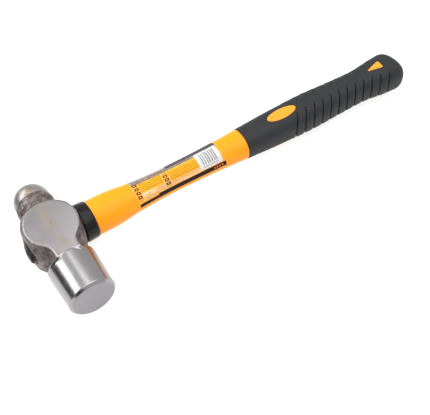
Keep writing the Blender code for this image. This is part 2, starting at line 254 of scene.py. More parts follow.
def head_distance(p):
    """The whole head: turned poll, forged boss, web and neck, ball, ground cheeks, eye."""
    x, z = p[:, 0], p[:, 2]
    body = smooth_min(boss_distance(p), web_distance(p), WEB_FILLET)
    body = smooth_min(body, neck_distance(p), NECK_FILLET)
    body = smooth_min(body, ball_distance(p), BALL_FILLET)
    body = smooth_max(body, np.abs(z) - CHEEK_HEIGHT, FLAT_ROUND)
    beside = np.maximum(1.0 - smooth_step(11.0, 18.0, np.abs(z)), smooth_step(5.0, 9.5, np.abs(x)))
    fillet = POLL_FILLETS[0] + (POLL_FILLETS[1] - POLL_FILLETS[0]) * beside
    whole = smooth_min(body, poll_distance(p), fillet)
    return smooth_max(whole, -eye_distance(p), EYE_ROUND)


def gradient(function, p):
    step = 0.05
    slopes = []
    for axis in np.eye(3) * step:
        slopes.append((function(p + axis) - function(p - axis)) / (2 * step))
    return np.stack(slopes, 1)


def net_mesh(field, low, step):
    """Closed quad mesh of a sampled field's zero level, with one vertex in each cell that it crosses."""
    inside = field < 0
    cells = tuple(n - 1 for n in field.shape)
    corners = [(i, j, k) for i in (0, 1) for j in (0, 1) for k in (0, 1)]
    count = sum(inside[i:i + cells[0], j:j + cells[1], k:k + cells[2]].astype(np.int8)
                for i, j, k in corners)
    active = (count > 0) & (count < 8)
    place = np.argwhere(active)
    index = np.full(cells, -1)
    index[active] = np.arange(len(place))
    values = [field[place[:, 0] + i, place[:, 1] + j, place[:, 2] + k] for i, j, k in corners]
    total, hits = np.zeros((len(place), 3)), np.zeros(len(place))
    for a, first in enumerate(corners):
        for b, second in enumerate(corners):
            if b > a and sum(abs(m - n) for m, n in zip(first, second)) == 1:
                crossed = (values[a] < 0) != (values[b] < 0)
                t = np.where(crossed, values[a] / np.where(crossed, values[a] - values[b], 1.0), 0.0)
                point = np.array(first) + t[:, None] * (np.array(second) - np.array(first))
                total += point * crossed[:, None]
                hits += crossed
    vertices = np.array(low) + step * (place + total / hits[:, None])
    quads = []
    for axis in range(3):
        order = (axis, (axis + 1) % 3, (axis + 2) % 3)
        state, cell = inside.transpose(order), index.transpose(order)
        start, end = state[:-1, 1:-1, 1:-1], state[1:, 1:-1, 1:-1]
        around = np.stack([cell[:, :-1, :-1], cell[:, 1:, :-1], cell[:, 1:, 1:], cell[:, :-1, 1:]], -1)
        quads += [around[start & ~end], around[~start & end][:, ::-1]]
    return vertices, np.concatenate(quads)


def handle_half_width(x):
    into_end = np.maximum(x - (BUTT_X - BUTT_ROUND), 0.0) / BUTT_ROUND
    return outline_value(HANDLE_OUTLINE, x) - BUTT_ROUND * (1 - np.sqrt(np.maximum(1 - into_end ** 2, 0)))


def handle_power(x):
    return 2.0 + 0.5 * np.clip((x - 150.0) / 60.0, 0.0, 1.0)


def handle_points(x, angle, inset=0.0):
    """Points on the handle's surface at places along it and angles round it, drawn in by an inset."""
    x, angle, inset = np.broadcast_arrays(np.asarray(x, float), angle, inset)
    half = handle_half_width(x) - inset
    power = handle_power(x)
    c, s = np.cos(angle), np.sin(angle)
    y = np.sign(c) * np.abs(c) ** (2 / power) * half
    z = np.sign(s) * np.abs(s) ** (2 / power) * half * FLATTENING
    slant = BUTT_SLANT * np.maximum(x - BUTT_SLANT_START_X, 0.0) / (BUTT_X - BUTT_SLANT_START_X)
    return np.stack([x - slant * y, y, z], -1)


def round_ring(x, radius_y, radius_z, angles, power=2.0, middle_y=0.0):
    c, s = np.cos(angles), np.sin(angles)
    return np.stack([np.broadcast_to(x, angles.shape),
                     middle_y + np.sign(c) * np.abs(c) ** (2 / power) * radius_y,
                     np.sign(s) * np.abs(s) ** (2 / power) * radius_z], -1)


def turn_angles(count):
    return np.arange(count) * 2 * math.pi / count


# ---------------------------------------------------------------- pieces

def add_piece(name, node, slot, vertices, faces, material, attributes=(), sharp=None):
    """Mesh piece that stands for a CAD node, placed in the hammer's axes."""
    mesh = bpy.data.meshes.new(name)
    mesh.from_pydata((np.asarray(vertices) * MM).tolist(), [], [tuple(f) for f in faces])
    mesh.validate()
    mesh.shade_smooth()
    if sharp:
        mesh.set_sharp_from_angle(angle=math.radians(sharp))
    for label, values in attributes:
        mesh.attributes.new(label, "FLOAT", "POINT").data.foreach_set(
            "value", np.asarray(values, np.float32))
    mesh.materials.append(material)
    piece = bpy.data.objects.new(name, mesh)
    piece.location = AXES
    bpy.context.scene.collection.objects.link(piece)
    if node:
        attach(piece, "root")
        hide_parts(node)
    return piece


def skin(rings):
    """Vertices and faces of a closed skin over rings of points, with a fan at each end."""
    rings = np.asarray(rings)
    count, turn = rings.shape[:2]
    vertices = np.concatenate([rings.reshape(-1, 3), rings[:1].mean(1), rings[-1:].mean(1)])
    faces = []
    for i in range(count - 1):
        for k in range(turn):
            n = (k + 1) % turn
            faces.append((i * turn + k, i * turn + n, (i + 1) * turn + n, (i + 1) * turn + k))
    first, last, end = count * turn, count * turn + 1, (count - 1) * turn
    for k in range(turn):
        n = (k + 1) % turn
        faces.append((first, n, k))
        faces.append((last, end + k, end + n))
    return vertices, faces


def rough_noise(points, size, seed):
    """Value noise in about -1 to 1 at each point, with features about as wide as size."""
    offset = Vector((seed * 7.3, seed * 3.1, seed * 5.7))
    return np.array([noise.noise(Vector(p) / size + offset) for p in points])


def forged_head(material):
    axes = [np.arange(low, high, HEAD_STEP) for low, high in zip(HEAD_LOW, HEAD_HIGH)]
    grid = np.stack(np.meshgrid(*axes, indexing="ij"), -1)
    field = head_distance(grid.reshape(-1, 3)).reshape(grid.shape[:3])
    points, quads = net_mesh(field, HEAD_LOW, HEAD_STEP)
    for _ in range(4):
        slope = gradient(head_distance, points)
        points -= (head_distance(points) / np.maximum((slope ** 2).sum(1), 0.2))[:, None] * slope
    slope = gradient(head_distance, points)
    normals = slope / np.linalg.norm(slope, axis=1)[:, None]

    wander = 0.14 * rough_noise(points, 3.0, 1)
    y, height = points[:, 1], np.abs(points[:, 2])
    root = smooth_step(-30.4, -31.6, y)
    flat = smooth_step(19.5, 20.1, height + wander * (1 - root) + 5.5 * root)
    turned = (1 - smooth_step(0.1, 0.3, poll_distance(points) + wander)) * (y < POLL_ROOT_Y)
    ball = (1 - smooth_step(0.03, 0.14, ball_distance(points) + 0.4 * wander)) * (y > 36.0)
    polish = np.maximum(np.maximum(flat, turned), ball)
    # rim: band round the eye's mouth at the boss ends; it halves the bumps there and carries a painted
    # highlight in the steel's colour
    rim = (1 - smooth_step(1.4, 3.2, np.abs(eye_distance(points)))) * (np.abs(points[:, 0]) > 18.0)
    forging = (1 - polish) * (1 - 0.8 * root) * (eye_distance(points) > 0.3)
    # hollow: how deep each point sits in a fillet; it drives the painted shade that darkens the fillets in
    # the steel's colour
    hollow = smooth_step(0.0, 1.1, hollow_depth(points))
    bumps = (0.42 * rough_noise(points, 5.5, 2) + 0.22 * rough_noise(points, 2.2, 3)
             + 0.10 * rough_noise(points, 1.0, 4))
    points = points + normals * (forging * (1 - 0.5 * rim) * bumps)[:, None]

    piece = add_piece("forged_head", "hammer_head", "head_steel", points, quads.tolist(), material,
                      [("polish", polish), ("rim", rim), ("hollow", hollow)])
    mesh = piece.data
    shaded = np.zeros(len(points) * 3, np.float32)
    mesh.vertices.foreach_get("normal", shaded)
    shaded = shaded.reshape(-1, 3)
    mixed = shaded + (normals - shaded) * polish[:, None]
    mixed /= np.linalg.norm(mixed, axis=1)[:, None]
    mesh.normals_split_custom_set_from_vertices(mixed.tolist())


def resin_fill(material):
    """Cast resin round the core in the eye, standing out of the eye's outer end as a crooked dome."""
    angles = turn_angles(FINE_TURN)
    half_y, half_z = EYE_HALF_Y - GAP, EYE_HALF_Z - GAP
    rings = [round_ring(x, CORE_RADIUS + GAP, CORE_RADIUS + GAP, angles)
             for x in (CORE_COVER_X, 0.0, BOSS_X - GAP)]
    rings += [round_ring(x, half_y, half_z, angles, EYE_POWER)
              for x in (BOSS_X - GAP, 12.0, 0.0, -12.0, -19.0, -21.0)]
    straight = len(rings)
    rises = RESIN_SIZE[0][0] + (RESIN_SIZE[-1][0] - RESIN_SIZE[0][0]) * np.linspace(0, 1, 16) ** 0.8
    for rise in rises:
        size = float(outline_value(RESIN_SIZE, np.array(rise)))
        lean = float(outline_value(RESIN_LEAN, np.array(rise)))
        rings.append(round_ring(-BOSS_X - rise, size * half_y, size * half_z, angles, EYE_POWER, -lean))
    for share in (0.6, 0.25):
        rings.append(rings[-1].mean(0) + (rings[-1] - rings[-1].mean(0)) * share)
    rings = np.array(rings)
    dome = rings[straight:]
    flat_list = dome.reshape(-1, 3)
    bumps = 0.45 * rough_noise(flat_list, 5.0, 5) + 0.12 * rough_noise(flat_list, 1.6, 6)
    dome[..., 0] -= bumps.reshape(dome.shape[:2]) * np.linspace(0, 1, len(dome))[:, None] ** 0.5
    add_piece("resin_fill", "eye_resin", "resin", *skin(rings), material, sharp=40)


def collar_ring(material):
    """Moulded ring whose near edge follows the forging's side."""
    angles = turn_angles(TURN)
    end_radius = float(handle_half_width(np.array(COLLAR_END_X))) + COLLAR_PROUD
    rings = [round_ring(COLLAR_END_X, CORE_RADIUS + GAP, CORE_RADIUS + GAP, angles),
             round_ring(BOSS_X + GAP, CORE_RADIUS + GAP, CORE_RADIUS + GAP, angles)]
    for share, rise in COLLAR_SECTION:
        radius = COLLAR_RADIUS + (end_radius - COLLAR_RADIUS) * share + rise
        ring = round_ring(0.0, radius, radius * FLATTENING, angles)
        fall = cheek_fall(ring[:, 2])
        near = BOSS_X - (BOSS_X - CHEEK_RADIUS) * fall
        reach = BOSS_Y - (BOSS_Y - CHEEK_RADIUS) * fall
        power = 3.0 - fall
        start = near * (1 - (np.abs(ring[:, 1]) / reach) ** power) ** (1 / power) + COLLAR_GAP
        ring[:, 0] = start + (COLLAR_END_X - start) * share
        rings.append(ring)
    add_piece("collar_ring", "neck_collar", "collar_rubber", *skin(rings), material, sharp=60)


def sheath_jacket(material):
    """Moulded jacket: full size between collar and grip, thinner where the grip covers it."""
    angles = turn_angles(TURN)
    start, shoulder, end = COLLAR_END_X + 0.12, GRIP_START_X - 0.15, SHEATH_END_X
    rings = [round_ring(x, CORE_RADIUS + GAP, CORE_RADIUS + GAP, angles)
             for x in (CORE_END_X + GAP, 250.0, 150.0, start)]
    rings += [handle_points(start + rise, angles, inset)
              for rise, inset in ((0.0, 0.5), (0.08, 0.2), (0.3, 0.03))]
    rings += [handle_points(x, angles) for x in np.linspace(start + 0.9, shoulder - 0.4, 110)]
    rings += [handle_points(shoulder, angles, 0.15), handle_points(shoulder, angles, GRIP_WALL + GAP)]
    rings += [handle_points(x, angles, GRIP_WALL + GAP)
              for x in np.linspace(shoulder + 3.0, end - BUTT_ROUND, 40)]
    rings += [handle_points(end - 4.0, angles, GRIP_WALL + 1.0),
              handle_points(end, angles, GRIP_WALL + 4.0)]
    add_piece("sheath_jacket", "handle_sheath", "sheath_plastic", *skin(rings), material, sharp=40)


def groove_sink(place, from_side):
    """Depth of the grip's surface at a place along it, measured before the lean, and an angle."""
    sink = np.zeros(np.broadcast(place, from_side).shape)
    for k in range(GROOVE_COUNT):
        offset = place - (GROOVE_FIRST_X + k * GROOVE_PITCH)
        reach = GROOVE_REACH - 0.08 * abs(k - 4) ** 3
        cover = smooth_step(reach + 1.0, reach - 2.0, from_side)
        trough = GROOVE_DEPTH * (1 - smooth_step(0.25, GROOVE_HALF, np.abs(offset)))
        crown = RIB_CROWN * np.sin(math.pi * np.clip(offset / GROOVE_PITCH, 0, 1)) ** 0.6
        last = 1.0 if k < GROOVE_COUNT - 1 else 0.0
        sink += cover * (trough - crown * last)
    return sink


def soft_grip(material):
    """Over-moulded grip: rounded front lip, curved grooves on its narrow sides, rounded butt."""
    angles = turn_angles(GRIP_TURN)
    degrees = np.degrees(np.abs(np.arcsin(np.sin(angles))))
    lean = GROOVE_LEAN * (1 - np.cos(np.radians(np.minimum(degrees, GROOVE_REACH))))
    inner_end = SHEATH_END_X + GAP
    rings = [handle_points(inner_end, angles, GRIP_WALL + 3.5),
             handle_points(inner_end - 4.0, angles, GRIP_WALL + 0.6)]
    rings += [handle_points(x, angles, GRIP_WALL)
              for x in np.linspace(inner_end - BUTT_ROUND, GRIP_START_X + 1.0, 40)]
    rings += [handle_points(GRIP_START_X + rise, angles, inset)
              for rise, inset in ((0.0, GRIP_WALL), (0.0, 0.35), (0.12, 0.0), (0.4, -0.15))]
    front = np.linspace(GRIP_START_X + 1.2, GROOVE_FIRST_X - 2.4, 34)
    grooved = [GROOVE_FIRST_X + k * GROOVE_PITCH + step for k in range(GROOVE_COUNT) for step in GROOVE_STEPS]
    for place in np.array(list(front) + grooved):
        ease = smooth_step(GRIP_START_X, front[-1], place)
        leaning = place + lean * ease
        inset = groove_sink(np.array(place), degrees)
        inset -= 0.15 * (1 - smooth_step(GRIP_START_X, GRIP_START_X + 12.0, place))
        rings.append(handle_points(leaning, angles, inset))
    for share in np.linspace(0, 1, 30)[1:]:
        straight = BUTT_X - BUTT_ROUND * (1 - math.sin(math.radians(88.0 * share)))
        blend = share ** 0.8
        leaning = (grooved[-1] + lean) * (1 - blend) + straight * blend
        rings.append(handle_points(leaning, angles))
    rings.append(rings[-1].mean(0) + (rings[-1] - rings[-1].mean(0)) * 0.5)
    piece = add_piece("soft_grip", None, None, *skin(rings), material, sharp=50)
    for tool in inlay_pockets():
        modifier = piece.modifiers.new(tool.name, "BOOLEAN")
        modifier.operation = "DIFFERENCE"
        modifier.solver = "EXACT"
        modifier.object = tool
        with bpy.context.temp_override(object=piece, active_object=piece):
            bpy.ops.object.modifier_apply(modifier=modifier.name)
        bpy.data.objects.remove(tool)
    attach(piece, "root")
    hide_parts("grip")


def inlay_plan(shape, shrink, scale=1.0):
    """Outline of an inlay in plan: an oval, or with a taper, a rounded wedge."""
    middle, half_length, half_width, taper = shape
    power = 2.0 if taper == 0 else WEDGE_POWER
    angles = turn_angles(FINE_TURN)
    c, s = np.cos(angles), np.sin(angles)
    u = np.sign(c) * np.abs(c) ** (2 / power) * (half_length - shrink)
    v = np.sign(s) * np.abs(s) ** (2 / power) * (half_width - shrink)
    v = v * (1 - taper * (0.5 - 0.5 * u / half_length))
    return middle + u * scale, v * scale


def on_broad_face(x, y, inset, side):
    """Points on the handle's upper or lower broad face."""
    half, power = handle_half_width(x), handle_power(x)
    dome = (1 - np.minimum(np.abs(y) / half, 1.0) ** power) ** (1 / power)
    return np.stack([x, y, side * (half * FLATTENING * dome - inset)], -1)


def inlay_pockets():
    tools = []
    for name, shape in INLAYS.items():
        for side in (1, -1):
            x, y = inlay_plan(shape, 0.0)
            rings = [on_broad_face(x, y, inset, side) for inset in (INLAY_DEPTH, 0.6, -2.0)]
            rings = rings if side < 0 else rings[::-1]
            tools.append(add_piece(f"{name}_pocket", None, None, *skin(rings), None))
    return tools


def inlay_pad(name, shape, side, material):
    """Pad with a rounded rim, a little proud of the grip's face."""
    rings = []
    for inset, scale in [(INLAY_DEPTH - 0.1, 1.0)] + INLAY_RIM:
        x, y = inlay_plan(shape, INLAY_SEAM, scale)
        rings.append(on_broad_face(x, y, inset, side))
    rings = rings if side > 0 else rings[::-1]
    add_piece(name, name.replace("pad", "inlay"), "sheath_plastic", *skin(rings), material, sharp=50)


def film_sheet(name, node, slot, material, x_range, slant, angle_range, lift, thickness, wrinkle):
    """Thin printed film that lies on the sheath; it knows its place along and round the handle."""
    rows = int((x_range[1] - x_range[0]) / 1.1)
    columns = int((angle_range[1] - angle_range[0]) / 2.0)
    degrees = np.linspace(*angle_range, columns + 1)
    share = np.linspace(0, 1, rows + 1)[:, None]
    along = x_range[0] + (x_range[1] - x_range[0] + slant * degrees[None, :] / 180.0) * share
    around = np.broadcast_to(degrees, along.shape)
    base = handle_points(along, np.radians(around), 0.0)
    waves = rough_noise(base.reshape(-1, 3) * np.array([0.6, 1.0, 1.0]), 4.5, 8).reshape(along.shape)
    height = lift + wrinkle * (0.5 + 0.5 * waves)
    top = handle_points(along, np.radians(around), -height - thickness)
    bottom = handle_points(along, np.radians(around), -height)
    count, turn = along.shape
    size = count * turn

    def vertex(i, k, layer):
        return layer * size + i * turn + k

    faces = []
    for i in range(count - 1):
        for k in range(turn - 1):
            faces.append((vertex(i, k, 0), vertex(i, k + 1, 0), vertex(i + 1, k + 1, 0), vertex(i + 1, k, 0)))
            faces.append((vertex(i, k, 1), vertex(i + 1, k, 1), vertex(i + 1, k + 1, 1), vertex(i, k + 1, 1)))
    for i in range(count - 1):
        faces.append((vertex(i, 0, 0), vertex(i + 1, 0, 0), vertex(i + 1, 0, 1), vertex(i, 0, 1)))
        faces.append((vertex(i, turn - 1, 1), vertex(i + 1, turn - 1, 1),
                      vertex(i + 1, turn - 1, 0), vertex(i, turn - 1, 0)))
    for k in range(turn - 1):
        faces.append((vertex(0, k, 1), vertex(0, k + 1, 1), vertex(0, k + 1, 0), vertex(0, k, 0)))
        faces.append((vertex(count - 1, k, 0), vertex(count - 1, k + 1, 0),
                      vertex(count - 1, k + 1, 1), vertex(count - 1, k, 1)))
    points = np.concatenate([top.reshape(-1, 3), bottom.reshape(-1, 3)])
    attributes = [("along", np.tile(along.reshape(-1), 2)), ("around", np.tile(around.reshape(-1), 2))]
    add_piece(name, node, slot, points, faces, material, attributes, sharp=50)


# ---------------------------------------------------------------- materials

class Look:
    """Short-hand for building one Principled material's nodes."""

    def __init__(self, name):
        self.material = bpy.data.materials.new(name)
        self.material.use_nodes = True
        self.tree = self.material.node_tree
        self.surface = self.tree.nodes["Principled BSDF"]

    def node(self, kind, **settings):
        node = self.tree.nodes.new(kind)
        for key, value in settings.items():
            setattr(node, key, value)
        return node

    def join(self, value, socket):
        if isinstance(value, bpy.types.NodeSocket):
            self.tree.links.new(value, socket)
        elif isinstance(value, (tuple, list)) and len(value) == 3 and len(socket.default_value) == 4:
            socket.default_value = (*value, 1.0)
        else:
            socket.default_value = value

    def set(self, name, value):
        self.join(value, self.surface.inputs[name])

    def position(self, stretch=(1.0, 1.0, 1.0)):
        """Place on the piece in metres, stretched along its axes."""
        mapping = self.node("ShaderNodeMapping")
        self.join(self.node("ShaderNodeTexCoord").outputs["Object"], mapping.inputs["Vector"])
        mapping.inputs["Scale"].default_value = stretch
        return mapping.outputs["Vector"]

    def part(self, vector, axis):
        node = self.node("ShaderNodeSeparateXYZ")
        self.join(vector, node.inputs[0])
        return node.outputs[axis]

    def attribute(self, name):
        return self.node("ShaderNodeAttribute", attribute_name=name).outputs["Fac"]

    def noise(self, vector, scale, detail=3.0, roughness=0.55, distortion=0.0):
        node = self.node("ShaderNodeTexNoise")
        self.join(vector, node.inputs["Vector"])
        for key, value in (("Scale", scale), ("Detail", detail), ("Roughness", roughness),
                           ("Distortion", distortion)):
            node.inputs[key].default_value = value
        return node.outputs["Fac"]

    def cells(self, vector, scale):
        node = self.node("ShaderNodeTexVoronoi")
        self.join(vector, node.inputs["Vector"])
        node.inputs["Scale"].default_value = scale
        return node.outputs["Distance"]

    def math(self, operation, *values, clamp=False):
        node = self.node("ShaderNodeMath", operation=operation, use_clamp=clamp)
        for value, socket in zip(values, node.inputs):
            self.join(value, socket)
        return node.outputs[0]

    def remap(self, value, low, high, to_low=0.0, to_high=1.0):
        node = self.node("ShaderNodeMapRange", interpolation_type="SMOOTHSTEP")
        for item, key in ((value, "Value"), (low, "From Min"), (high, "From Max"),
                          (to_low, "To Min"), (to_high, "To Max")):
            self.join(item, node.inputs[key])
        return node.outputs[0]

    def band(self, value, low, high, soft):
        """1 between two limits, 0 outside them."""
        return self.math("MULTIPLY", self.remap(value, low - soft, low + soft),
                         self.remap(value, high - soft, high + soft, 1.0, 0.0))

    def mix(self, factor, a, b):
        node = self.node("ShaderNodeMix", data_type="RGBA")
        for item, socket in ((factor, node.inputs[0]), (a, node.inputs[6]), (b, node.inputs[7])):
            self.join(item, socket)
        return node.outputs[2]

    def bump(self, height, strength, distance, before=None):
        node = self.node("ShaderNodeBump")
        self.join(height, node.inputs["Height"])
        node.inputs["Strength"].default_value = strength
        node.inputs["Distance"].default_value = distance
        if before is not None:
            self.join(before, node.inputs["Normal"])
        return node.outputs["Normal"]


def steel_look():
    """Turned and ground steel, with as-forged scale left in the recesses; painted shade darkens the fillets,
    a painted highlight lightens the eye's rim and a painted reflection lightens the polished steel towards +X
    and -Y.
    """
    look = Look("head_steel")
    polish, rim = look.attribute("polish"), look.attribute("rim")
    place = look.position()
    y = look.part(place, 1)
    turned_lines = look.noise(look.position((30.0, 1700.0, 30.0)), 1.0, 2.0)
    ground_lines = look.noise(look.position((90.0, 1500.0, 90.0)), 1.0, 3.0)
    cloud = look.noise(place, 55.0, 4.0)
    on_face = look.remap(y, -0.0686, -0.0690)
    on_poll = look.remap(y, -0.0315, -0.0330)

    bright = look.mix(look.remap(cloud, 0.3, 0.7), (0.225, 0.212, 0.219), (0.265, 0.251, 0.258))
    bright = look.mix(look.math("MULTIPLY", look.remap(turned_lines, 0.35, 0.7), 0.06), bright,
                      (0.22, 0.21, 0.21))
    # Painted reflection: the polished steel's colour is made lighter towards +X and -Y, for the brighter
    # reflection on that side.
    painted_light_slope = look.math("ADD", look.math("MULTIPLY", look.part(place, 0), 0.8),
                      look.math("MULTIPLY", y, -0.5))
    bright = look.mix(look.remap(painted_light_slope, -0.012, 0.026), bright, (0.315, 0.30, 0.307))
    bright = look.mix(on_poll, bright, (0.305, 0.290, 0.298))
    bright = look.mix(look.remap(y, 0.034, 0.037, 0.0, 0.8), bright, (0.325, 0.305, 0.315))
    bright = look.mix(on_face, bright, (0.30, 0.28, 0.295))

    mottle = look.noise(place, 260.0, 6.0, 0.65)
    patches = look.noise(place, 90.0, 3.0, 0.5, 0.4)
    scale_and_painted_light_color = look.mix(look.remap(mottle, 0.32, 0.68), (0.062, 0.050, 0.046), (0.31, 0.277, 0.268))
    scale_and_painted_light_color = look.mix(look.remap(patches, 0.42, 0.62, 0.0, 0.55), scale_and_painted_light_color, (0.10, 0.078, 0.07))
    # Painted shade: the forging's colour goes darker in the fillets between its parts.
    scale_and_painted_light_color = look.mix(look.math("MULTIPLY", look.attribute("hollow"), 0.55), scale_and_painted_light_color,
                           (0.045, 0.034, 0.030))
    # Painted highlight: the forging's colour goes lighter round the eye's mouth, on its rounded edge.
    scale_and_painted_light_color = look.mix(look.math("MULTIPLY", rim, 0.35), scale_and_painted_light_color, (0.30, 0.28, 0.27))
    warm = look.math("MULTIPLY", look.band(look.part(place, 0), -0.006, 0.003, 0.004),
                     look.remap(look.noise(look.position((70.0, 45.0, 45.0)), 1.0, 3.0), 0.35, 0.6))
    warm = look.math("MULTIPLY", warm, look.remap(y, -0.032, -0.022))
    bright = look.mix(warm, bright, (0.285, 0.245, 0.195))
    look.set("Base Color", look.mix(polish, scale_and_painted_light_color, bright))

    smooth = look.remap(look.noise(place, 300.0, 3.0), 0.3, 0.7, 0.39, 0.44)
    smooth = look.math("SUBTRACT", smooth, look.math("MULTIPLY", on_poll, 0.175))
    smooth = look.math("ADD", smooth, look.math("MULTIPLY", on_face, 0.27))
    rough = look.remap(mottle, 0.3, 0.7, 0.42, 0.62)
    roughness = look.math("ADD", look.math("MULTIPLY", smooth, polish),
                          look.math("MULTIPLY", rough, look.math("SUBTRACT", 1.0, polish)))
    look.set("Roughness", roughness)
    look.set("Metallic", 1.0)

    lines = look.mix(on_poll, ground_lines, turned_lines)
    fine = look.bump(lines, 0.008, 0.00010)
    pits = look.noise(place, 900.0, 5.0, 0.7)
    unpolished = look.math("SUBTRACT", 1.0, polish)
    look.set("Normal", look.bump(look.math("MULTIPLY", pits, unpolished), 0.75, 0.0006, fine))
    return look.material


def resin_look():
    look = Look("cast_resin")
    place = look.position()
    cloud = look.noise(place, 220.0, 4.0)
    color = look.mix(look.remap(cloud, 0.35, 0.7), (0.007, 0.0065, 0.0055), (0.030, 0.027, 0.023))
    look.set("Base Color", color)
    look.set("Roughness", look.remap(cloud, 0.3, 0.7, 0.32, 0.46))
    look.set("Specular IOR Level", 0.3)
    look.set("Normal", look.bump(look.noise(place, 600.0, 3.0), 0.25, 0.0003))
    return look.material


def fibreglass_look():
    """Pultruded rod: fine glass strands along its length in a straw-coloured resin."""
    look = Look("fibreglass_rod")
    strands = look.noise(look.position((20.0, 2400.0, 2400.0)), 1.0, 3.0)
    look.set("Base Color", look.mix(look.remap(strands, 0.3, 0.7), (0.62, 0.54, 0.36), (0.84, 0.79, 0.64)))
    look.set("Roughness", look.remap(strands, 0.3, 0.7, 0.35, 0.55))
    look.set("Normal", look.bump(strands, 0.3, 0.0001))
    return look.material


def collar_look():
    look = Look("collar_rubber")
    place = look.position()
    cloud = look.noise(place, 140.0, 4.0)
    look.set("Base Color", look.mix(cloud, (0.003, 0.003, 0.0035), (0.007, 0.007, 0.008)))
    look.set("Roughness", look.remap(cloud, 0.3, 0.7, 0.20, 0.28))
    look.set("Specular IOR Level", 0.2)
    look.set("Normal", look.bump(look.noise(place, 1500.0, 3.0), 0.08, 0.0001))
    return look.material


def sheath_look(name, green, blue):
    """Yellow-orange moulded plastic: faint flow marks, slight orange peel and hairline scuffs."""
    look = Look(name)
    place = look.position()
    flow = look.noise(look.position((12.0, 60.0, 60.0)), 1.0, 4.0)
    base = look.mix(look.remap(flow, 0.3, 0.7), (0.90, green, blue), (0.94, green + 0.028, blue + 0.003))
    scuffs = look.remap(look.noise(look.position((150.0, 1600.0, 1600.0)), 1.0, 3.0), 0.66, 0.72)
    look.set("Base Color", look.mix(look.math("MULTIPLY", scuffs, 0.08), base, (0.90, 0.50, 0.16)))
    peel = look.noise(place, 520.0, 2.0)
    roughness = look.remap(peel, 0.3, 0.7, 0.26, 0.34)
    look.set("Specular IOR Level", 0.17)
    look.set("Roughness", look.math("ADD", roughness, look.math("MULTIPLY", scuffs, 0.12)))
    look.set("Normal", look.bump(peel, 0.06, 0.0002))
    return look.material


def rubber_look():
    """Soft matte grip: fine spark-eroded texture, dusty high spots."""
    look = Look("grip_rubber")
    place = look.position()
    grain = look.cells(place, 2300.0)
    cloud = look.noise(place, 70.0, 5.0, 0.6)
    base = look.mix(look.remap(cloud, 0.3, 0.7), (0.0079, 0.0086, 0.0097), (0.0121, 0.0131, 0.0148))
    specks = look.remap(look.noise(place, 1300.0, 3.0), 0.42, 0.72)
    look.set("Base Color", look.mix(look.math("MULTIPLY", specks, 0.4), base, (0.030, 0.0305, 0.032)))
    look.set("Roughness", look.remap(cloud, 0.3, 0.7, 0.52, 0.64))
    look.set("Specular IOR Level", 0.35)
    look.set("Normal", look.bump(grain, 0.5, 0.0002))
    return look.material


def dashes(look, along, around, pitch, width, scale, cutoff):
    """Rows of broken fine lines along the handle, such as small print makes from afar."""
    phase = look.math("FRACT", look.math("DIVIDE", around, pitch))
    row = look.math("FLOOR", look.math("DIVIDE", around, pitch))
    line = look.band(phase, 0.5 - width, 0.5 + width, 0.06)
    seed = look.node("ShaderNodeCombineXYZ")
    look.join(look.math("MULTIPLY", along, scale), seed.inputs[0])
    look.join(look.math("MULTIPLY", row, 7.7), seed.inputs[1])
    broken = look.remap(look.noise(seed.outputs[0], 1.0, 2.0), cutoff - 0.03, cutoff + 0.03)
    return look.math("MULTIPLY", line, broken)


